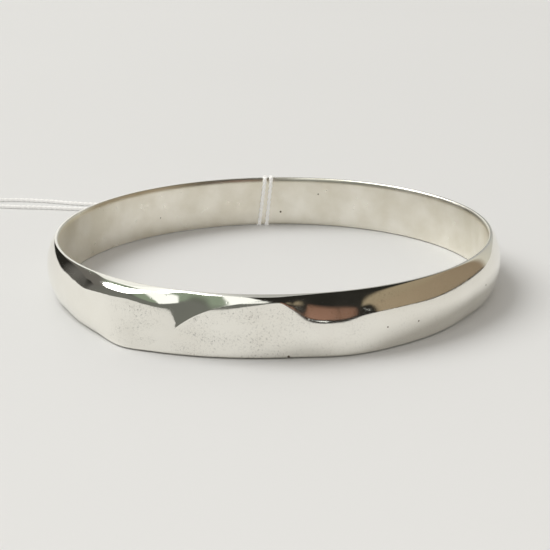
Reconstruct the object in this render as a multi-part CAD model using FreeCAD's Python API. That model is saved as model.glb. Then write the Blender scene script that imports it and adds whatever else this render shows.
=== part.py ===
"""Hollow silver bangle with a folded-over front, and the label string tied round its back.

Row frame, in millimetres: +Z is the bangle's axis, the front is at -Y, and z = 0 is the
surface that the bangle lies on, with the flattened string under its back rim.
Angles round the band are in degrees from the front, positive towards +X.
"""
import FreeCAD, Part
import math
import os

# Band
INNER_RADIUS = 31.0        # wrist opening, 62 mm across
EDGE_ROUND = 0.25          # rounding of the lower outer edge
EDGE_SHARE = 0.3           # how much of the dome falls at its very edge
BAND_HEIGHT = 7.9
SHEET = 0.4                # thickness of the silver sheet of shell and liner
SEAM_WIDTH = 0.1           # solder between the liner and each leg of the shell
LIFT = 0.13                # the rim's height over the table, on the string

# Outward thickness of the band at its lower rim, half height and upper rim,
# as (angle, thickness) stops that are eased into each other
LOWER_RIM = [
    (-66, 0.6), (-56, 1.05), (-46, 1.8), (-34, 3.55), (-28, 3.15), (-20, 2.75),
    (4, 2.15), (17, 2.8), (30, 2.1), (44, 1.3), (56, 0.6),
]
MIDDLE = [(-62, 1.95), (-34, 3.05), (-22, 2.5), (0, 2.2), (10, 2.55), (17, 2.7), (30, 2.4), (60, 1.95)]
UPPER_RIM = [(-22, 0.6), (-10, 1.35), (-3, 1.45), (13, 0.6)]
SQUARE = [(-50, 0), (-40, 0.7), (-34, 0.7), (-25, 0)]
# Height where the face starts to round over towards the upper rim
SHOULDER = [
    (-80, 3.95), (-66, 4.0), (-56, 3.5), (-46, 5.4), (-40, 5.7), (-34, 6.2), (-27, 5.9),
    (-12, 6.0), (-4, 6.9), (1, 7.3), (4, 6.1), (7.5, 3.8), (14, 3.5), (20, 4.55),
    (28, 4.65), (38, 4.2), (50, 3.7), (64, 4.5), (78, 3.95),
]

# Fold: the right band laps the left one along a ridge
RIDGE = [
    (-35, 0), (-31, 0.3), (-28, 0.85), (-24.5, 2.2), (-21.5, 3.75), (-19.25, 4.7),
    (-17.25, 5.4), (-13.5, 6.35), (-9.5, 6.95), (-5, 7.4), (-2, 7.55),
]
BEVEL_FOOT = 3.5           # above this height the bevel starts earlier and turns slower
BEVEL_START = -25.7        # angle where the left band turns up into the fold
BEVEL_SPAN = 7.0

# Butt joint of the band and the strip behind it
JOINT_ANGLE = -128.0
JOINT_GAP = 0.12
STRIP_LENGTH = 6.0
STRIP_HEIGHT = 5.0
STRIP_THICKNESS = 0.35

# String: two strands round the back of the band, a bight across them and two tails
THREAD = 0.65
FLAT_THREAD = 0.09         # the strands are pressed flat where they lie on the band
THREAD_GAP = LIFT - FLAT_THREAD
STRAND_X = (-1.95, -0.7)
BIGHT_HEIGHT = 4.3
BIGHT_OVERHANG = 0.55
TAIL_HEIGHT = 3.6
KNOT_CENTRE = (-57.0, 47.0, 1.1)
KNOT_RADIUS = 1.1
TABLE = THREAD / 2 + 0.005

# Points of the tails, which run to the left on the table
NEAR_TAIL = [
    (-2.0, 33.25, TAIL_HEIGHT), (-2.5, 35.9, 3.0), (-5.0, 38.0, 0.9), (-9.0, 38.9, TABLE),
    (-18.0, 39.6, TABLE), (-27.0, 40.9, TABLE), (-34.7, 41.7, TABLE), (-40.5, 43.0, TABLE),
    (-46.0, 43.6, TABLE), (-51.5, 45.0, TABLE), (-56.0, 46.8, TABLE),
]
FAR_TAIL = [
    (-0.7, 33.25, TAIL_HEIGHT), (-0.9, 36.6, 3.2), (-3.3, 39.9, 1.0), (-8.0, 41.6, TABLE),
    (-17.0, 42.7, TABLE), (-26.5, 43.6, TABLE), (-34.5, 45.2, TABLE), (-40.0, 47.4, TABLE),
    (-46.0, 48.7, TABLE), (-51.5, 48.5, TABLE), (-56.0, 47.2, TABLE),
]

ANGLE_STEPS = 300
HEIGHT_STEPS = 18
AXIS = FreeCAD.Vector(0, 0, 1)
ORIGIN = FreeCAD.Vector(0, 0, 0)


def eased(t):
    t = min(1.0, max(0.0, t))
    return t * t * t * (t * (6 * t - 15) + 10)


def along(stops, angle):
    """Smooth value at an angle between stops, constant beyond the first and the last."""
    last = len(stops) - 1
    if angle <= stops[0][0]:
        return stops[0][1]
    if angle >= stops[last][0]:
        return stops[last][1]

    def slope(i):
        if i == 0 or i == last:
            return 0.0
        before, here, after = stops[i - 1], stops[i], stops[i + 1]
        if (here[1] - before[1]) * (after[1] - here[1]) <= 0:
            return 0.0
        return (after[1] - before[1]) / (after[0] - before[0])

    i = max(k for k in range(last) if stops[k][0] <= angle)
    width = stops[i + 1][0] - stops[i][0]
    t = (angle - stops[i][0]) / width
    rise = stops[i + 1][1] - stops[i][1]
    start = slope(i) * width
    end = slope(i + 1) * width
    square = 3 * rise - 2 * start - end
    cube = start + end - 2 * rise
    return stops[i][1] + start * t + square * t ** 2 + cube * t ** 3


def quarter(t):
    return math.sqrt(max(0.0, 1 - t * t))


def dome(t, angle):
    """Fall of the domed face from 1 at its crown to 0 at the rim: steepest at the very edge,
    and square-shouldered where the left band meets the fold."""
    soft = (1 - EDGE_SHARE) * (1 - t * t) + EDGE_SHARE * quarter(t)
    square = max(0.0, 1 - abs(t) ** 3) ** (1 / 3)
    return soft + (square - soft) * along(SQUARE, angle)


def face_thickness(angle, z):
    """Band without the fold: a D whose shoulder can stay flat up to near the rim."""
    middle = along(MIDDLE, angle)
    shoulder = along(SHOULDER, angle)
    if z > shoulder:
        rim = along(UPPER_RIM, angle)
        return rim + (middle - rim) * dome((z - shoulder) / (BAND_HEIGHT - shoulder), angle)
    low = min(BAND_HEIGHT / 2, shoulder)
    if z < low:
        rim = along(LOWER_RIM, angle)
        down = (low - z) / low
        if rim < middle:
            return rim + (middle - rim) * dome(down, 180)
        return middle + (rim - middle) * down ** 1.25
    return middle


def thickness(angle, z):
    """Outward thickness of the whole band, with the bevel of the fold above its ridge."""
    face = face_thickness(angle, z)
    ridge = along(RIDGE, angle)
    up = max(0.0, z - BEVEL_FOOT)
    turn = eased((angle - BEVEL_START + 1.2 * up) / (BEVEL_SPAN + 2 * up))
    if z > ridge and turn > 0:
        edge = face_thickness(angle, ridge)
        rim = min(along(UPPER_RIM, angle), edge)
        rise = (z - ridge) / (BAND_HEIGHT - ridge)
        bevel = rim + (edge - rim) * ((1 - EDGE_SHARE) * (1 - rise) + EDGE_SHARE * quarter(rise))
        face += (min(bevel, face) - face) * turn
    if z < EDGE_ROUND:
        face -= EDGE_ROUND * (1 - quarter(1 - z / EDGE_ROUND))
    return face


def band_point(angle, z, inset=0.0):
    radius = INNER_RADIUS + thickness(angle, z) - inset
    turn = math.radians(angle)
    return FreeCAD.Vector(radius * math.sin(turn), -radius * math.cos(turn), z)


def ring_from_wall(low, high, inset):
    """Solid bounded by the band's outer wall, moved in by inset, between two heights."""
    poles = []
    for i in range(ANGLE_STEPS):
        angle = -180 + 360 * i / ANGLE_STEPS
        row = []
        for j in range(HEIGHT_STEPS + 1):
            part = (1 - math.cos(math.pi * j / HEIGHT_STEPS)) / 2
            row.append(band_point(angle, low + (high - low) * part, inset))
        poles.append(row)
    degree = 3
    round_knots = list(range(ANGLE_STEPS + 1))
    up_knots = list(range(HEIGHT_STEPS + 2 - degree))
    up_mults = [degree + 1] + [1] * (len(up_knots) - 2) + [degree + 1]
    surface = Part.BSplineSurface()
    surface.buildFromPolesMultsKnots(
        poles, [1] * len(round_knots), up_mults, round_knots, up_knots, True, False, degree, degree)
    wall = surface.toShape()
    rims = [edge for edge in wall.Edges if edge.isClosed()]
    caps = [Part.Face(Part.Wire([rim])) for rim in rims]
    skin = Part.Shell([wall] + caps)
    skin.sewShape()
    return Part.Solid(skin)


def annulus(inner, outer, low, high):
    tall = Part.makeCylinder(outer, high - low, FreeCAD.Vector(0, 0, low))
    return tall.cut(Part.makeCylinder(inner, high - low + 2, FreeCAD.Vector(0, 0, low - 1)))


def half_space(sign):
    """Box over the front half (sign -1) or the back half (sign +1)."""
    size = 4 * INNER_RADIUS
    y = 0 if sign > 0 else -size
    return Part.makeBox(2 * size, size, size, FreeCAD.Vector(-size, y, -size / 2))


def slice_at_joint(width):
    """Thin radial slab across the band at the butt joint."""
    size = 12.0
    corner = FreeCAD.Vector(-width / 2, -INNER_RADIUS - size / 2 - 3, -size / 2)
    slab = Part.makeBox(width, size, 2 * size, corner)
    slab.rotate(ORIGIN, AXIS, JOINT_ANGLE)
    return slab


def make_outer_shell():
    back = INNER_RADIUS + SHEET + SEAM_WIDTH
    shell = ring_from_wall(0, BAND_HEIGHT, 0)
    shell = shell.cut(Part.makeCylinder(back, 3 * BAND_HEIGHT, FreeCAD.Vector(0, 0, -BAND_HEIGHT)))
    hollow = ring_from_wall(SHEET, BAND_HEIGHT - SHEET, SHEET)
    hollow = hollow.cut(Part.makeCylinder(back, 3 * BAND_HEIGHT, FreeCAD.Vector(0, 0, -BAND_HEIGHT)))
    return shell.cut(hollow)


def make_inner_liner():
    return annulus(INNER_RADIUS, INNER_RADIUS + SHEET, 0, BAND_HEIGHT)


def make_seam(low):
    inner = INNER_RADIUS + SHEET
    return annulus(inner, inner + SEAM_WIDTH, low, low + SHEET)


def make_backing_strip():
    inner = INNER_RADIUS + SHEET
    low = (BAND_HEIGHT - STRIP_HEIGHT) / 2
    ring = annulus(inner, inner + STRIP_THICKNESS, low, low + STRIP_HEIGHT)
    return ring.common(slice_at_joint(STRIP_LENGTH))


def rounded_path(points):
    """Straight runs joined by tangent arcs as large as their shorter run allows."""
    corners = [FreeCAD.Vector(*p) for p in points]
    edges = []
    start = corners[0]
    for before, corner, after in zip(corners, corners[1:], corners[2:]):
        run_in = corner - before
        run_out = after - corner
        turn = run_in.getAngle(run_out)
        reach = 0.45 * min(run_in.Length, run_out.Length)
        radius = reach / math.tan(turn / 2)
        print("  turn %4.1f deg, radius %6.1f mm" % (math.degrees(turn), radius))
        way_in = FreeCAD.Vector(run_in).normalize()
        way_out = FreeCAD.Vector(run_out).normalize()
        arc_start = corner - way_in * reach
        arc_end = corner + way_out * reach
        inward = (way_out - way_in).normalize()
        middle = corner + inward * (radius / math.cos(turn / 2) - radius)
        edges.append(Part.LineSegment(start, arc_start).toShape())
        edges.append(Part.Arc(arc_start, middle, arc_end).toShape())
        start = arc_end
    edges.append(Part.LineSegment(start, corners[-1]).toShape())
    return Part.Wire(edges)


def make_tail(points):
    path = rounded_path(points)
    first = FreeCAD.Vector(*points[0])
    direction = FreeCAD.Vector(*points[1]) - first
    section = Part.Wire(Part.makeCircle(THREAD / 2, first, direction))
    tube = path.makePipeShell([section], True, False)
    expected = math.pi * THREAD ** 2 / 4 * path.Length
    print("  length %.1f mm, volume %.3f of %.3f mm3" % (path.Length, tube.Volume, expected))
    return tube.cut(make_knot())


def make_knot():
    return Part.makeSphere(KNOT_RADIUS, FreeCAD.Vector(*KNOT_CENTRE))


def band_section(gap):
    """Outline of the plain band, grown by gap, in the plane x = 0 at the back."""
    inner = INNER_RADIUS - gap
    low = -gap
    high = BAND_HEIGHT + gap
    rim = INNER_RADIUS + along(UPPER_RIM, 180) + gap
    middle = INNER_RADIUS + along(MIDDLE, 180) + gap
    lower = FreeCAD.Vector(0, rim, low)
    upper = FreeCAD.Vector(0, rim, high)
    outer = []
    for j in range(HEIGHT_STEPS + 1):
        part = -math.cos(math.pi * j / HEIGHT_STEPS)
        y = rim + (middle - rim) * dome(part, 180)
        outer.append(FreeCAD.Vector(0, y, (low + high) / 2 + part * (high - low) / 2))
    crest = Part.BSplineCurve()
    crest.interpolate(outer)
    inside_low = FreeCAD.Vector(0, inner, low)
    inside_high = FreeCAD.Vector(0, inner, high)
    edges = [
        crest.toShape(),
        Part.LineSegment(upper, inside_high).toShape(),
        Part.LineSegment(inside_high, inside_low).toShape(),
        Part.LineSegment(inside_low, lower).toShape(),
    ]
    return Part.Face(Part.Wire(edges))


def make_hitch():
    """The two flattened strands round the band and the bight that holds them outside."""
    around = band_section(THREAD_GAP + FLAT_THREAD).cut(band_section(THREAD_GAP))
    pieces = []
    for x in STRAND_X:
        strand = around.extrude(FreeCAD.Vector(THREAD, 0, 0))
        strand.translate(FreeCAD.Vector(-THREAD / 2, 0, LIFT))
        strand.rotate(ORIGIN, AXIS, -math.degrees(x / INNER_RADIUS))
        pieces.append(strand)
    reach = INNER_RADIUS + along(MIDDLE, 180) + THREAD_GAP + THREAD / 2
    left = STRAND_X[0] - BIGHT_OVERHANG
    length = STRAND_X[1] + BIGHT_OVERHANG - left
    start = FreeCAD.Vector(left, reach, BIGHT_HEIGHT)
    bight = Part.makeCylinder(THREAD / 2, length, start, FreeCAD.Vector(1, 0, 0))
    for end in (start, start + FreeCAD.Vector(length, 0, 0)):
        bight = bight.fuse(Part.makeSphere(THREAD / 2, end))
    return bight.fuse(pieces)


def save(name, shape, lift=LIFT):
    shape = shape.copy()
    shape.translate(FreeCAD.Vector(0, 0, lift))
    box = shape.BoundBox
    print("%-20s valid %s solids %d volume %8.3f  x %.2f..%.2f  y %.2f..%.2f  z %.3f..%.3f" % (
        name, shape.isValid(), len(shape.Solids), shape.Volume,
        box.XMin, box.XMax, box.YMin, box.YMax, box.ZMin, box.ZMax))
    shape.exportStep("parts/" + name + ".step")


def main():
    os.makedirs("parts", exist_ok=True)
    gap = slice_at_joint(JOINT_GAP)
    shell = make_outer_shell()
    liner = make_inner_liner()
    halves = [shell.common(half_space(sign)).cut(gap) for sign in (-1, 1)]
    save("outer_shell", halves[0].fuse(halves[1]))
    save("inner_liner", liner.cut(gap))
    save("shell_joint_solder", shell.common(gap))
    save("liner_joint_solder", liner.common(gap))
    save("joint_backing_strip", make_backing_strip())
    save("lower_seam", make_seam(0))
    save("upper_seam", make_seam(BAND_HEIGHT - SHEET))
    save("string_hitch", make_hitch(), 0)
    save("string_tail_near", make_tail(NEAR_TAIL), 0)
    save("string_tail_far", make_tail(FAR_TAIL), 0)
    save("string_knot", make_knot(), 0)


main()
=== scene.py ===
"""Looks of the hollow silver bangle with a folded-over front and its label string.

Lengths in the shape functions are millimetres in the row frame, turned into metres as the
meshes are made. Angles round the band are in degrees from the front (-Y), positive towards +X.
"""
import math

import bpy
from mathutils import Matrix, Vector, noise


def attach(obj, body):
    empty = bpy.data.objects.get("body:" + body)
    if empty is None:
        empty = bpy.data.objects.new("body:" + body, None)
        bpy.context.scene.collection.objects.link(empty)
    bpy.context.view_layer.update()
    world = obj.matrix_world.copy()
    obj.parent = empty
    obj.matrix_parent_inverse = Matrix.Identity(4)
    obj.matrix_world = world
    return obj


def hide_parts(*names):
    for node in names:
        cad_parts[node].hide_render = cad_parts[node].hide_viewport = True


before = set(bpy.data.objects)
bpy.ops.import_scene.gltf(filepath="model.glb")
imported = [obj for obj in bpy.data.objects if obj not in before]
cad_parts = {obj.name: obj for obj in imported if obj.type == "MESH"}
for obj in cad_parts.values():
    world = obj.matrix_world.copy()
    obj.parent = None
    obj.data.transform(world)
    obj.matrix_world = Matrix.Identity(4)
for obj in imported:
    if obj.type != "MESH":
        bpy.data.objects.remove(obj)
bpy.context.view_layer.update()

MM = 0.001

# Band, as in the part's source
INNER_RADIUS = 31.0
BAND_HEIGHT = 7.9
SHEET = 0.4
SEAM_WIDTH = 0.1
LIFT = 0.13
EDGE_ROUND = 0.25
EDGE_SHARE = 0.3

LOWER_RIM = [
    (-66, 0.6), (-56, 1.05), (-46, 1.8), (-34, 3.55), (-28, 3.15), (-20, 2.75),
    (4, 2.15), (17, 2.8), (30, 2.1), (44, 1.3), (56, 0.6),
]
MIDDLE = [(-62, 1.95), (-34, 3.05), (-22, 2.5), (0, 2.2), (10, 2.55), (17, 2.7), (30, 2.4), (60, 1.95)]
UPPER_RIM = [(-22, 0.6), (-10, 1.35), (-3, 1.45), (13, 0.6)]
SQUARE = [(-50, 0), (-40, 0.7), (-34, 0.7), (-25, 0)]
SHOULDER = [
    (-80, 3.95), (-66, 4.0), (-56, 3.5), (-46, 5.4), (-40, 5.7), (-34, 6.2), (-27, 5.9),
    (-12, 6.0), (-4, 6.9), (1, 7.3), (4, 6.1), (7.5, 3.8), (14, 3.5), (20, 4.55),
    (28, 4.65), (38, 4.2), (50, 3.7), (64, 4.5), (78, 3.95),
]
RIDGE = [
    (-35, 0), (-31, 0.3), (-28, 0.85), (-24.5, 2.2), (-21.5, 3.75), (-19.25, 4.7),
    (-17.25, 5.4), (-13.5, 6.35), (-9.5, 6.95), (-5, 7.4), (-2, 7.55),
]
BEVEL_FOOT = 3.5
BEVEL_START = -25.7
BEVEL_SPAN = 7.0

# Rows of the outer wall: they gather along the fold's ridge
ROWS_BELOW = 30
ROWS_ABOVE = 36
SPLIT = [
    (-80, 3.95), (-42, 0.5), (-31, 0.5), (-28, 0.85), (-24.5, 2.2), (-21.5, 3.75), (-19.25, 4.7),
    (-17.25, 5.4), (-13.5, 6.35), (-9.5, 6.95), (-5, 7.3), (20, 7.3), (70, 3.95),
]
FINE_STEP = 0.2
COARSE_STEP = 0.8
FINE_REACH = 70.0

# Label string
THREAD = 0.65
PLY_RADIUS = 0.235
PLY_OFFSET = 0.095
TWIST_PITCH = 1.9
TABLE = THREAD / 2 + 0.005
TAIL_HEIGHT = 3.6
NEAR_TAIL = [
    (-2.0, 33.25, TAIL_HEIGHT), (-2.5, 35.9, 3.0), (-5.0, 38.0, 0.9), (-9.0, 38.9, TABLE),
    (-18.0, 39.6, TABLE), (-27.0, 40.9, TABLE), (-34.7, 41.7, TABLE), (-40.5, 43.0, TABLE),
    (-46.0, 43.6, TABLE), (-51.5, 45.0, TABLE), (-56.0, 46.8, TABLE),
]
FAR_TAIL = [
    (-0.7, 33.25, TAIL_HEIGHT), (-0.9, 36.6, 3.2), (-3.3, 39.9, 1.0), (-8.0, 41.6, TABLE),
    (-17.0, 42.7, TABLE), (-26.5, 43.6, TABLE), (-34.5, 45.2, TABLE), (-40.0, 47.4, TABLE),
    (-46.0, 48.7, TABLE), (-51.5, 48.5, TABLE), (-56.0, 47.2, TABLE),
]
KNOT_CENTRE = (-57.0, 47.0, 1.1)
KNOT_SIZE = 0.26
# Each strand's x at the tail's exit, at the lower rim and at the upper rim
STRANDS = [(-2.0, -2.4, -1.3), (-0.7, -1.15, -0.27)]
BIGHT_HEIGHT = 4.3
SKIN_GAP = 0.012
RIM_REACH = 0.3
PATH_STEP = 0.12
HITCH_STEP = 0.1

# Camera, its distance and target in millimetres and its angles in degrees
CAMERA_DISTANCE = 215.7
CAMERA_ELEVATION = 17.5
CAMERA_ROLL = -0.64
CAMERA_LENS = 95.6
CAMERA_TARGET = (0.15, 0.19, 0.745)

# Pits in the metal, as x, y, z and radius, each drawn as a dark disc of painted shade where its hollow
# would be dark
OUTER_PIT_SHADES = [
    (28.96, -15.72, 3.93, 0.14), (18.62, -27.6, 2.98, 0.12), (14.43, -30.25, 3.13, 0.11),
    (1.73, -33.0, 0.35, 0.2),
]
BORE_PIT_SHADES = [(1.22, 30.98, 2.23, 0.16), (7.5, 30.08, 5.4, 0.12), (-18.4, 24.9, 3.0, 0.1)]

# Small bright things in the room, as heading and climb in degrees, and size
GLINTS = [
    (-146.0, 22.0, 0.02), (45.0, 20.0, 0.02), (47.0, 15.0, 0.016),
    (18.0, 4.5, 0.022), (13.0, 7.0, 0.014), (43.0, 25.0, 0.012),
]


# ---------------------------------------------------------------- shape of the band

def eased(t):
    t = min(1.0, max(0.0, t))
    return t * t * t * (t * (6 * t - 15) + 10)


def along(stops, angle):
    """Smooth value at an angle between stops, constant beyond the first and the last."""
    last = len(stops) - 1
    if angle <= stops[0][0]:
        return stops[0][1]
    if angle >= stops[last][0]:
        return stops[last][1]

    def slope(i):
        if i == 0 or i == last:
            return 0.0
        before, here, after = stops[i - 1], stops[i], stops[i + 1]
        if (here[1] - before[1]) * (after[1] - here[1]) <= 0:
            return 0.0
        return (after[1] - before[1]) / (after[0] - before[0])

    i = max(k for k in range(last) if stops[k][0] <= angle)
    width = stops[i + 1][0] - stops[i][0]
    t = (angle - stops[i][0]) / width
    rise = stops[i + 1][1] - stops[i][1]
    start = slope(i) * width
    end = slope(i + 1) * width
    square = 3 * rise - 2 * start - end
    cube = start + end - 2 * rise
    return stops[i][1] + start * t + square * t ** 2 + cube * t ** 3


def quarter(t):
    return math.sqrt(max(0.0, 1 - t * t))


def dome(t, angle):
    """Fall of the domed face from 1 at its crown to 0 at the rim: steepest at the very edge,
    and square-shouldered where the left band meets the fold."""
    soft = (1 - EDGE_SHARE) * (1 - t * t) + EDGE_SHARE * quarter(t)
    square = max(0.0, 1 - abs(t) ** 3) ** (1 / 3)
    return soft + (square - soft) * along(SQUARE, angle)


def face_thickness(angle, z):
    """Band without the fold: a D whose shoulder can stay flat up to near the rim."""
    middle = along(MIDDLE, angle)
    shoulder = along(SHOULDER, angle)
    if z > shoulder:
        rim = along(UPPER_RIM, angle)
        return rim + (middle - rim) * dome((z - shoulder) / (BAND_HEIGHT - shoulder), angle)
    low = min(BAND_HEIGHT / 2, shoulder)
    if z < low:
        rim = along(LOWER_RIM, angle)
        down = (low - z) / low
        if rim < middle:
            return rim + (middle - rim) * dome(down, 180)
        return middle + (rim - middle) * down ** 1.25
    return middle


def thickness(angle, z):
    """Outward thickness of the whole band, with the bevel of the fold above its ridge."""
    face = face_thickness(angle, z)
    ridge = along(RIDGE, angle)
    up = max(0.0, z - BEVEL_FOOT)
    turn = eased((angle - BEVEL_START + 1.2 * up) / (BEVEL_SPAN + 2 * up))
    if z > ridge and turn > 0:
        edge = face_thickness(angle, ridge)
        rim = min(along(UPPER_RIM, angle), edge)
        rise = (z - ridge) / (BAND_HEIGHT - ridge)
        bevel = rim + (edge - rim) * ((1 - EDGE_SHARE) * (1 - rise) + EDGE_SHARE * quarter(rise))
        face += (min(bevel, face) - face) * turn
    if z < EDGE_ROUND:
        face -= EDGE_ROUND * (1 - quarter(1 - z / EDGE_ROUND))
    return face


def waver(angle, z, size, depth, seed):
    """Slow unevenness of hand-finished metal."""
    turn = math.radians(angle)
    around = INNER_RADIUS / size
    place = Vector((around * math.sin(turn), -around * math.cos(turn), z / size + seed))
    return depth * noise.noise(place)


def angles():
    """Angles round the band, closer together over the folded front."""
    found = []
    angle = -180.0
    while angle < 180.0 - 1e-6:
        found.append(angle)
        fine = -FINE_REACH - 1e-6 <= angle < FINE_REACH
        angle = round(angle + (FINE_STEP if fine else COARSE_STEP), 6)
    return found


def wall_heights(angle):
    """Heights of the outer wall's rows, gathered at the rims and at the ridge."""
    split = along(SPLIT, angle)
    below = [split * (1 - math.cos(math.pi * i / ROWS_BELOW)) / 2 for i in range(ROWS_BELOW)]
    rest = BAND_HEIGHT - split
    above = [split + rest * (1 - math.cos(math.pi * i / ROWS_ABOVE)) / 2 for i in range(ROWS_ABOVE + 1)]
    return below + above


def shell_profile(angle):
    """Closed section of the domed outer shell, as (radius, height) in order."""
    heights = wall_heights(angle)
    outer = []
    for z in heights:
        grow = waver(angle, z, 6.0, 0.008, 3.0) + waver(angle, z, 2.2, 0.0015, 9.0)
        outer.append((INNER_RADIUS + thickness(angle, z) + grow, z))
    back = INNER_RADIUS + SHEET + SEAM_WIDTH
    inside = []
    for i in range(9):
        z = BAND_HEIGHT - SHEET - (BAND_HEIGHT - 2 * SHEET) * i / 8
        inside.append((max(back + 0.02, INNER_RADIUS + thickness(angle, z) - SHEET), z))
    top = [(back, BAND_HEIGHT), (back, BAND_HEIGHT - SHEET)]
    bottom = [(back, SHEET), (back, 0.0)]
    return outer + top + inside + bottom


def liner_profile(angle):
    """Closed section of the liner, whose inner edges are worn round."""
    wear_up = 0.8
    wear_in = 0.34
    wall = []
    rows = 40
    for i in range(rows + 1):
        z = BAND_HEIGHT * (1 - math.cos(math.pi * i / rows)) / 2
        back = 0.0
        if z > BAND_HEIGHT - wear_up:
            back = wear_in * (1 - quarter((z - BAND_HEIGHT + wear_up) / wear_up))
        if z < wear_in:
            back = 0.12 * (1 - quarter(1 - z / wear_in))
        radius = INNER_RADIUS + back + 0.008 * (1 + noise.noise(Vector((angle / 9, z / 5, 2.0))))
        wall.append((radius, z))
    outer = INNER_RADIUS + SHEET
    return [(outer, 0.0), (outer, BAND_HEIGHT)] + wall[::-1]


def ring_mesh(name, profile, sharp=40):
    """Closed ring swept round the bangle's axis through a section that varies with the angle."""
    turns = angles()
    sections = [profile(a) for a in turns]
    count = len(sections[0])
    points = []
    for angle, section in zip(turns, sections):
        t = math.radians(angle)
        for radius, z in section:
            points.append((radius * math.sin(t) * MM, -radius * math.cos(t) * MM, (z + LIFT) * MM))
    faces = []
    for i in range(len(turns)):
        here = i * count
        there = (i + 1) % len(turns) * count
        for j in range(count):
            k = (j + 1) % count
            faces.append((here + j, there + j, there + k, here + k))
    return add_mesh(name, points, faces, sharp)


def add_mesh(name, points, faces, sharp=None):
    mesh = bpy.data.meshes.new(name)
    mesh.from_pydata(points, [], faces)
    mesh.validate()
    mesh.polygons.foreach_set("use_smooth", [True] * len(mesh.polygons))
    if sharp:
        mesh.set_sharp_from_angle(angle=math.radians(sharp))
    piece = bpy.data.objects.new(name, mesh)
    bpy.context.scene.collection.objects.link(piece)
    return piece


# ---------------------------------------------------------------- label string

def curve_points(points, name):
    """Points read from a smooth spline that has the route's points as its control points."""
    data = bpy.data.curves.new(name, "CURVE")
    data.dimensions = "3D"
    spline = data.splines.new("NURBS")
    spline.points.add(len(points) - 1)
    for slot, point in zip(spline.points, points):
        slot.co = (point[0] * MM, point[1] * MM, point[2] * MM, 1.0)
    spline.order_u = 3
    spline.use_endpoint_u = True
    data.resolution_u = 12
    holder = bpy.data.objects.new(name, data)
    bpy.context.scene.collection.objects.link(holder)
    mesh = bpy.data.meshes.new_from_object(holder)
    found = [v.co.copy() for v in mesh.vertices]
    bpy.data.meshes.remove(mesh)
    bpy.data.objects.remove(holder)
    return found


def evenly(points, step):
    """The same line with points a fixed step apart."""
    found = [points[0]]
    left = step
    for a, b in zip(points, points[1:]):
        length = (b - a).length
        done = 0.0
        while length - done >= left:
            done += left
            found.append(a.lerp(b, done / length))
            left = step
        left -= length - done
    found.append(points[-1])
    return found


def twisted(name, path, ups, press, sides=10):
    """Two plies twisted round a path. ups point off what the string lies on, and press gives
    the share of its thickness that is left at each point."""
    points = []
    faces = []
    for ply in (0, 1):
        first = len(points)
        run = 0.0
        for i, centre in enumerate(path):
            before = path[max(0, i - 1)]
            after = path[min(len(path) - 1, i + 1)]
            ahead = (after - before).normalized()
            across = ahead.cross(ups[i]).normalized()
            up = across.cross(ahead).normalized()
            if i:
                run += (centre - path[i - 1]).length
            phase = 2 * math.pi * run / (TWIST_PITCH * MM) + math.pi * ply
            for k in range(sides):
                t = 2 * math.pi * k / sides
                high = PLY_OFFSET * math.cos(phase) + PLY_RADIUS * math.cos(t)
                side = PLY_OFFSET * math.sin(phase) + PLY_RADIUS * math.sin(t)
                low = -THREAD / 2
                high = low + (high - low) * press[i]
                side *= 1 + 0.5 * (1 - press[i])
                points.append(centre + (up * high + across * side) * MM)
        for i in range(len(path) - 1):
            for k in range(sides):
                a = first + i * sides + k
                b = first + i * sides + (k + 1) % sides
                faces.append((a, b, b + sides, a + sides))
        faces.append(tuple(first + k for k in range(sides))[::-1])
        last = first + (len(path) - 1) * sides
        faces.append(tuple(last + k for k in range(sides)))
    return add_mesh(name, points, faces)


def make_tail(name, points):
    path = evenly(curve_points(points, name + "_route"), PATH_STEP * MM)
    up = Vector((0, 0, 1))
    tail = twisted(name, path, [up] * len(path), [1.0] * len(path))
    length = sum((b - a).length for a, b in zip(path, path[1:]))
    return tail, path, length


def wrap_section():
    """Points on the band's section at the back with the way out of the metal, from the tail's
    exit outside, down, under the rim, up the inner wall, over the rim and down to the bight."""
    def outer(z):
        here = thickness(180, z)
        small = 0.02
        above = thickness(180, min(BAND_HEIGHT, z + small))
        below = thickness(180, max(0.0, z - small))
        return INNER_RADIUS + here, z, 1.0, -(above - below) / (2 * small)

    found = [outer(TAIL_HEIGHT - LIFT - 0.12 * i) for i in range(29)]
    found += [(31.3, 0.0, 0.0, -1.0), (31.1, 0.0, 0.0, -1.0)]
    for i in range(1, 6):
        t = math.radians(90 * i / 6)
        found.append((INNER_RADIUS, 0.0, -math.sin(t), -math.cos(t)))
    found += [(INNER_RADIUS, 0.2 + 0.25 * i, -1.0, 0.0) for i in range(29)]
    for i in range(7):
        t = math.radians(90 * i / 6)
        found.append((INNER_RADIUS + 0.1, BAND_HEIGHT - 0.15, -math.cos(t), math.sin(t)))
    found += [(31.3, BAND_HEIGHT, 0.0, 1.0), (31.5, BAND_HEIGHT, 0.3, 1.0)]
    found += [outer(BAND_HEIGHT - 0.15 - 0.12 * i) for i in range(26)]
    return found


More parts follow.
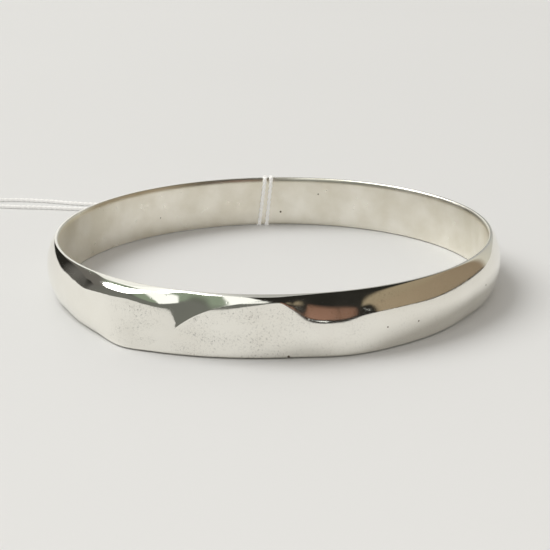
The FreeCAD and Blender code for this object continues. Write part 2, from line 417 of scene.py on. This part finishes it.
def make_hitch():
    """One loop of the doubled string: both strands round the band, joined by the bight."""
    sides = []
    for exit_x, low_x, high_x in STRANDS:
        route = []
        for y, z, out_y, out_z in wrap_section():
            out = Vector((0, out_y, out_z)).normalized()
            climb = min(1.0, max(0.0, z / BAND_HEIGHT))
            x = low_x + (high_x - low_x) * climb
            if y > INNER_RADIUS + 0.6 and len(route) < 40:
                x = low_x + (exit_x - low_x) * min(1.0, z / (TAIL_HEIGHT - LIFT))
            room = 1.0
            if z < RIM_REACH and out.z < 0:
                room = (LIFT - SKIN_GAP) / THREAD / max(0.05, -out.z)
            if z > BAND_HEIGHT - RIM_REACH and out.z > 0:
                room = 1 - 0.5 * out.z
            centre = Vector((x, y, z + LIFT)) + out * (THREAD / 2 + SKIN_GAP)
            route.append((centre * MM, out, min(1.0, room)))
        sides.append(route)
    first, second = sides
    crown = first[-1][0]
    across = []
    for i in range(1, 12):
        share = i / 12
        x = crown.x + (second[-1][0].x - crown.x) * share
        dip = math.sin(math.pi * share)
        spot = Vector((x, crown.y + 0.12 * MM * dip, crown.z - (crown.z - BIGHT_HEIGHT * MM) * dip))
        across.append((spot, Vector((0, 1, 0)), 1.0))
    whole = first + across + second[::-1]
    dense = []
    for (a, up_a, press_a), (b, up_b, press_b) in zip(whole, whole[1:]):
        steps = max(1, round((b - a).length / (HITCH_STEP * MM)))
        for k in range(steps):
            t = k / steps
            dense.append((a.lerp(b, t), up_a.lerp(up_b, t).normalized(), press_a + (press_b - press_a) * t))
    path, ups, press = (list(column) for column in zip(*dense))
    return twisted("hitch_thread", path, ups, press)


def make_knot():
    """Overhand knot that ties the two tails together."""
    steps = 120
    nearly_closed = 0.985
    points = []
    for i in range(steps):
        t = 2 * math.pi * i / steps * nearly_closed
        x = (math.sin(t) + 2 * math.sin(2 * t)) * KNOT_SIZE
        y = (math.cos(t) - 2 * math.cos(2 * t)) * KNOT_SIZE
        z = -math.sin(3 * t) * KNOT_SIZE * 1.2
        points.append((Vector((x, y, z)) + Vector(KNOT_CENTRE)) * MM)
    path = evenly(points, PATH_STEP * MM)
    up = Vector((0.1, 0.2, 1)).normalized()
    return twisted("overhand_knot", path, [up] * len(path), [1.0] * len(path))


# ---------------------------------------------------------------- materials

def new_material(name):
    material = bpy.data.materials.new(name)
    material.use_nodes = True
    nodes = material.node_tree.nodes
    links = material.node_tree.links
    return material, nodes, links, nodes["Principled BSDF"]


def noise_node(nodes, links, where, scale, detail=4.0, rough=0.55):
    node = nodes.new("ShaderNodeTexNoise")
    node.inputs["Scale"].default_value = scale
    node.inputs["Detail"].default_value = detail
    node.inputs["Roughness"].default_value = rough
    links.new(where, node.inputs["Vector"])
    return node


def ramp_node(nodes, links, value, stops):
    node = nodes.new("ShaderNodeValToRGB")
    ramp = node.color_ramp
    while len(ramp.elements) < len(stops):
        ramp.elements.new(0.5)
    for element, (place, colour) in zip(ramp.elements, stops):
        element.position = place
        element.color = (*colour, 1.0) if len(colour) == 3 else colour
    links.new(value, node.inputs["Fac"])
    return node


def grey(v):
    return (v, v, v)


def object_place(nodes):
    return nodes.new("ShaderNodeTexCoord").outputs["Object"]


def bump_node(nodes, links, height, strength, distance, before=None):
    node = nodes.new("ShaderNodeBump")
    node.inputs["Strength"].default_value = strength
    node.inputs["Distance"].default_value = distance
    links.new(height, node.inputs["Height"])
    if before:
        links.new(before, node.inputs["Normal"])
    return node.outputs["Normal"]


def silver(name, colour, dark, rough_low, rough_high, scratch, pit, pits, worn=None):
    """Worn silver: clouded colour and gloss, fine scratches one way, and small pits. The listed
    pits are dark discs of painted shade. The attribute worn names where the metal is dull and
    peppered with marks."""
    material, nodes, links, shader = new_material(name)
    place = object_place(nodes)

    clouds = noise_node(nodes, links, place, 170.0, 5.0)
    tint = ramp_node(nodes, links, clouds.outputs["Fac"], [(0.35, dark), (0.65, colour)])
    shade = tint.outputs["Color"]
    shader.inputs["Metallic"].default_value = 1.0
    haze = noise_node(nodes, links, place, 420.0, 6.0, 0.65)
    gloss = ramp_node(nodes, links, haze.outputs["Fac"], [(0.3, grey(rough_low)), (0.75, grey(rough_high))])
    rough = gloss.outputs["Color"]
    stretch = nodes.new("ShaderNodeMapping")
    stretch.inputs["Scale"].default_value = (1.0, 1.0, 7.0)
    stretch.inputs["Rotation"].default_value = (0.15, 0.3, 0.0)
    links.new(place, stretch.inputs["Vector"])
    lines = noise_node(nodes, links, stretch.outputs["Vector"], 900.0, 3.0)
    normal = bump_node(nodes, links, lines.outputs["Fac"], scratch, 0.00002)
    spots = nodes.new("ShaderNodeTexVoronoi")
    spots.inputs["Scale"].default_value = 900.0
    links.new(place, spots.inputs["Vector"])
    hollows = ramp_node(nodes, links, spots.outputs["Distance"], [(0.0, grey(0.0)), (0.16, grey(1.0))])
    normal = bump_node(nodes, links, hollows.outputs["Color"], pit, 0.00003, normal)
    if worn:
        share = nodes.new("ShaderNodeAttribute")
        share.attribute_name = worn
        specks = noise_node(nodes, links, place, 3400.0, 3.0, 0.75)
        peppered = ramp_node(nodes, links, specks.outputs["Fac"], [(0.34, grey(0.42)), (0.44, grey(1.0))])
        swirls = noise_node(nodes, links, place, 420.0, 2.0, 0.5)
        swirls.inputs["Distortion"].default_value = 1.6
        traced = ramp_node(nodes, links, swirls.outputs["Fac"], [
            (0.488, grey(1.0)), (0.498, grey(0.82)), (0.502, grey(0.82)), (0.512, grey(1.0)),
        ])
        marks = multiplied(nodes, links, 1.0, peppered.outputs["Color"], traced.outputs["Color"])
        shade = multiplied(nodes, links, share.outputs["Fac"], shade, marks)
        dull = math_node(nodes, links, "MULTIPLY_ADD", share.outputs["Fac"], 0.2, 0.0)
        rough = math_node(nodes, links, "ADD", rough, dull)
        dents = noise_node(nodes, links, place, 1500.0, 4.0, 0.6)
        raised = math_node(nodes, links, "MULTIPLY", dents.outputs["Fac"], share.outputs["Fac"])
        normal = bump_node(nodes, links, raised, 0.35, 0.00002, normal)
    # Painted shade: a dark disc over each listed pit stands in for the dark inside of its hollow
    for x, y, z, size in pits:
        away = nodes.new("ShaderNodeVectorMath")
        away.operation = "DISTANCE"
        links.new(place, away.inputs[0])
        away.inputs[1].default_value = (x * MM, y * MM, z * MM)
        near = math_node(nodes, links, "LESS_THAN", away.outputs["Value"], size * MM)
        shade = multiplied(nodes, links, near, shade, (0.16, 0.13, 0.1, 1.0))
    links.new(shade, shader.inputs["Base Color"])
    links.new(rough, shader.inputs["Roughness"])
    links.new(normal, shader.inputs["Normal"])
    return material


def mixed(nodes, links, kind, share, base, other):
    """One colour mixed into another. Each input is an output to link or a plain value."""
    mix = nodes.new("ShaderNodeMix")
    mix.data_type = "RGBA"
    mix.blend_type = kind
    for slot, value in (("Factor", share), ("A", base), ("B", other)):
        if isinstance(value, (float, tuple)):
            mix.inputs[slot].default_value = value
        else:
            links.new(value, mix.inputs[slot])
    return mix.outputs["Result"]


def multiplied(nodes, links, share, base, other):
    return mixed(nodes, links, "MULTIPLY", share, base, other)


def math_node(nodes, links, kind, *values):
    node = nodes.new("ShaderNodeMath")
    node.operation = kind
    for i, value in enumerate(values):
        if isinstance(value, (int, float)):
            node.inputs[i].default_value = value
        else:
            links.new(value, node.inputs[i])
    return node.outputs[0]


def cotton():
    material, nodes, links, shader = new_material("string_cotton")
    place = object_place(nodes)
    fibres = noise_node(nodes, links, place, 5000.0, 4.0)
    tint = ramp_node(nodes, links, fibres.outputs["Fac"], [
        (0.3, (0.88, 0.88, 0.86)), (0.7, (0.97, 0.97, 0.96)),
    ])
    links.new(tint.outputs["Color"], shader.inputs["Base Color"])
    shader.inputs["Roughness"].default_value = 0.9
    # Painted light: a faint white glow makes the string brighter than the lamps light it
    shader.inputs["Emission Color"].default_value = (1.0, 1.0, 0.98, 1.0)
    shader.inputs["Emission Strength"].default_value = 0.12
    links.new(bump_node(nodes, links, fibres.outputs["Fac"], 0.3, 0.00002), shader.inputs["Normal"])
    return material


def tabletop():
    material, nodes, links, shader = new_material("tabletop")
    place = object_place(nodes)
    patches = noise_node(nodes, links, place, 3.0, 2.0)
    tint = ramp_node(nodes, links, patches.outputs["Fac"], [
        (0.3, (0.77, 0.775, 0.775)), (0.7, (0.8, 0.805, 0.805)),
    ])
    links.new(tint.outputs["Color"], shader.inputs["Base Color"])
    shader.inputs["Roughness"].default_value = 0.6
    return material


def dress(piece, material):
    piece.data.materials.clear()
    piece.data.materials.append(material)


# ---------------------------------------------------------------- stage

def set_camera():
    tilt = math.radians(CAMERA_ELEVATION)
    place = Vector((0, -CAMERA_DISTANCE * math.cos(tilt), CAMERA_DISTANCE * math.sin(tilt) + LIFT))
    ahead = (Vector(CAMERA_TARGET) - place).normalized()
    data = bpy.data.cameras.new("camera")
    data.lens = CAMERA_LENS
    data.sensor_width = 36.0
    data.clip_start = 0.01
    camera = bpy.data.objects.new("camera", data)
    turn = ahead.to_track_quat("-Z", "Y").to_matrix().to_4x4()
    roll = Matrix.Rotation(math.radians(CAMERA_ROLL), 4, "Z")
    camera.matrix_world = Matrix.Translation(place * MM) @ turn @ roll
    bpy.context.scene.collection.objects.link(camera)
    bpy.context.scene.camera = camera


def make_floor():
    size = 4.0
    corners = [(-size, -size, 0), (size, -size, 0), (size, size, 0), (-size, size, 0)]
    floor = add_mesh("floor", corners, [(0, 1, 2, 3)])
    dress(floor, tabletop())


def set_room():
    """A room round the table: low and dark in front, warm to the right, a pale ceiling that
    comes down behind the table."""
    world = bpy.data.worlds.new("room")
    bpy.context.scene.world = world
    world.use_nodes = True
    nodes = world.node_tree.nodes
    links = world.node_tree.links
    background = nodes["Background"]
    split = nodes.new("ShaderNodeSeparateXYZ")
    links.new(nodes.new("ShaderNodeTexCoord").outputs["Generated"], split.inputs[0])
    x, y, z = split.outputs
    away = math_node(nodes, links, "MULTIPLY", y, -1.0)
    heading = math_node(nodes, links, "ARCTAN2", x, away)
    around = math_node(nodes, links, "MULTIPLY_ADD", heading, 0.5 / math.pi, 0.5)

    def at(degrees):
        return 0.5 + degrees / 360

    def blend(share, low, high):
        return mixed(nodes, links, "MIX", share, low, high)

    dark = (0.02, 0.019, 0.016)
    side = math_node(nodes, links, "MULTIPLY_ADD", x, 0.5, 0.5)

    def across(place):
        return 0.5 + place / 2

    walls = ramp_node(nodes, links, around, [
        (at(-179), (0.44, 0.44, 0.42)), (at(-175), (0.95, 0.95, 0.91)),
        (at(-158), (0.85, 0.85, 0.81)), (at(-151), dark), (at(-128), dark),
        (at(-119), (0.14, 0.135, 0.125)), (at(-84), (0.16, 0.165, 0.145)),
        (at(-2), (0.15, 0.155, 0.14)), (at(7), (0.16, 0.15, 0.13)), (at(10), (0.27, 0.15, 0.1)),
        (at(16), (0.3, 0.17, 0.12)), (at(29), (0.19, 0.105, 0.07)), (at(33), dark), (at(52), dark),
        (at(55), (0.34, 0.27, 0.18)), (at(122), (0.26, 0.2, 0.135)), (at(129), (0.6, 0.58, 0.5)),
        (at(160), (0.44, 0.44, 0.42)),
    ])
    green = (0.25, 0.3, 0.225)
    upper = ramp_node(nodes, links, side, [
        (across(-0.8), (0.1, 0.105, 0.09)), (across(-0.7), (0.13, 0.14, 0.115)), (across(-0.58), green),
        (across(-0.34), green), (across(-0.13), dark), (across(0.5), dark),
        (across(0.57), (0.33, 0.27, 0.18)), (across(0.9), (0.3, 0.24, 0.16)),
    ])
    step = ramp_node(nodes, links, z, [(0.52, grey(0.0)), (0.64, grey(1.0))])

    # Pale ceiling: between a slanting left edge and a right edge that moves off behind
    back = math_node(nodes, links, "MAXIMUM", math_node(nodes, links, "SUBTRACT", y, 0.3), 0.0)
    depth = math_node(nodes, links, "MINIMUM", math_node(nodes, links, "MAXIMUM", y, -0.4), 0.5)
    reach = math_node(nodes, links, "MULTIPLY_ADD", depth, -0.2, x)
    window = ramp_node(nodes, links, math_node(nodes, links, "MULTIPLY_ADD", reach, 0.5, 0.5), [
        (across(-0.37), grey(0.0)), (across(-0.335), grey(1.0)),
    ])
    edge = math_node(nodes, links, "MULTIPLY_ADD", back, -0.4, x)
    left = ramp_node(nodes, links, math_node(nodes, links, "MULTIPLY_ADD", edge, 0.5, 0.5), [
        (across(-0.15), grey(1.0)), (across(-0.12), grey(0.0)),
    ])
    high = ramp_node(nodes, links, z, [(0.5, grey(0.0)), (0.56, grey(1.0))])
    pale = math_node(nodes, links, "MULTIPLY", window.outputs["Color"], left.outputs["Color"])
    pale = math_node(nodes, links, "MULTIPLY", pale, high.outputs["Color"])

    # Dark skirting, thick in front and thin at the right
    thick = ramp_node(nodes, links, z, [(0.12, grey(1.0)), (0.16, grey(0.0))])
    thin = ramp_node(nodes, links, z, [(0.015, grey(1.0)), (0.04, grey(0.0))])
    front = ramp_node(nodes, links, around, [
        (at(5), grey(0.0)), (at(13), grey(1.0)), (at(50), grey(1.0)), (at(53), grey(0.0)),
    ])
    right = ramp_node(nodes, links, around, [
        (at(50), grey(0.0)), (at(54), grey(1.0)), (at(120), grey(1.0)), (at(126), grey(0.0)),
    ])
    low = math_node(nodes, links, "MAXIMUM",
                    math_node(nodes, links, "MULTIPLY", thick.outputs["Color"], front.outputs["Color"]),
                    math_node(nodes, links, "MULTIPLY", thin.outputs["Color"], right.outputs["Color"]))
    ceiling = (1.1, 1.12, 1.08, 1.0)
    room = blend(low, walls.outputs["Color"], (*dark, 1.0))

    # Grey corner behind at the left
    corner = ramp_node(nodes, links, around, [
        (at(-156), grey(0.0)), (at(-150), grey(1.0)), (at(-120), grey(1.0)), (at(-114), grey(0.0)),
    ])
    shelf = ramp_node(nodes, links, z, [(0.27, grey(0.0)), (0.3, grey(1.0))])
    grey_corner = (0.14, 0.132, 0.12, 1.0)
    patch = math_node(nodes, links, "MULTIPLY", corner.outputs["Color"], shelf.outputs["Color"])
    room = blend(patch, room, grey_corner)
    room = blend(step.outputs["Color"], room, upper.outputs["Color"])
    room = blend(pale, room, ceiling)
    for degrees, climb, size in GLINTS:
        out = math.cos(math.radians(climb))
        spot = nodes.new("ShaderNodeVectorMath")
        spot.operation = "DISTANCE"
        links.new(nodes.new("ShaderNodeTexCoord").outputs["Generated"], spot.inputs[0])
        spot.inputs[1].default_value = (
            out * math.sin(math.radians(degrees)), -out * math.cos(math.radians(degrees)),
            math.sin(math.radians(climb)),
        )
        near = math_node(nodes, links, "LESS_THAN", spot.outputs["Value"], size)
        room = blend(near, room, ceiling)

    # Only reflections see the room's parts; everything else is lit by an even fill
    sight = nodes.new("ShaderNodeLightPath")
    fill = (0.54, 0.52, 0.485, 1.0)
    links.new(blend(sight.outputs["Is Glossy Ray"], fill, room), background.inputs["Color"])
    background.inputs["Strength"].default_value = 1.0


def set_lights():
    window = bpy.data.lights.new("window", "SUN")
    window.energy = 1.85
    window.angle = math.radians(40)
    window.color = (1.0, 0.995, 0.98)
    lamp = bpy.data.objects.new("window", window)
    towards = Vector((0.75, -0.35, -1.0))
    lamp.rotation_euler = towards.to_track_quat("-Z", "Y").to_euler()
    bpy.context.scene.collection.objects.link(lamp)


def mark_worn(piece):
    """Where the front is scuffed: the flat of the fold most, less towards the sides."""
    layer = piece.data.attributes.new("worn", "FLOAT", "POINT")
    values = []
    for vertex in piece.data.vertices:
        x, y, z = vertex.co / MM
        angle = math.degrees(math.atan2(x, -y))
        z -= LIFT
        ridge = along(RIDGE, angle)
        face = along([(-26, 0.0), (-20, 0.9), (-6, 1.0), (4, 0.6), (20, 0.3), (70, 0.12)], angle)
        leaf = along([(-42, 0.0), (-34, 0.9), (-26, 0.9), (-22, 0.0)], angle)
        share = face if z <= ridge + 0.05 else leaf * eased((6.6 - z) / 1.0) * eased(z / 1.5)
        values.append(share * (0.55 + 0.9 * noise.noise(Vector((angle / 7, z / 1.6, 5.0)))))
    layer.data.foreach_set("value", [min(1.0, max(0.0, v)) for v in values])


# ---------------------------------------------------------------- build

set_camera()

string_look = cotton()
hitch_exit = (-2.0 * MM, 33.25 * MM, TAIL_HEIGHT * MM)
far_exit = (-0.7 * MM, 33.25 * MM, TAIL_HEIGHT * MM)
near_tail, near_path, near_length = make_tail("near_tail_thread", NEAR_TAIL)
far_tail, far_path, far_length = make_tail("far_tail_thread", FAR_TAIL)
for tail, path, length, exit_point, node in (
    (near_tail, near_path, near_length, hitch_exit, "string_tail_near"),
    (far_tail, far_path, far_length, far_exit, "string_tail_far"),
):
    dress(tail, string_look)
    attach(tail, "label_string")
    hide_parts(node)

hitch = make_hitch()
dress(hitch, string_look)
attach(hitch, "label_string")
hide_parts("string_hitch")

knot = make_knot()
dress(knot, string_look)
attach(knot, "label_string")
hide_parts("string_knot")

polished = silver("silver_outer", (0.955, 0.94, 0.88), (0.915, 0.895, 0.83),
                  0.04, 0.1, 0.1, 0.12, OUTER_PIT_SHADES, "worn")
satin = silver("silver_bore", (0.98, 0.95, 0.865), (0.85, 0.81, 0.7), 0.26, 0.4, 0.25, 0.15, BORE_PIT_SHADES)

shell = ring_mesh("domed_shell", shell_profile)
mark_worn(shell)
dress(shell, polished)
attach(shell, "band")
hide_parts("outer_shell", "shell_joint_solder")

liner = ring_mesh("bore_liner", liner_profile)
dress(liner, satin)
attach(liner, "band")
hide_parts("inner_liner", "liner_joint_solder")

solder = silver("solder", (0.9, 0.89, 0.85), (0.85, 0.84, 0.79), 0.1, 0.2, 0.1, 0.1, [])
for name in ("upper_seam", "lower_seam"):
    dress(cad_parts[name], solder)
dress(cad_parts["joint_backing_strip"], satin)

make_floor()
set_room()
set_lights()
bpy.context.scene.view_settings.view_transform = "Standard"
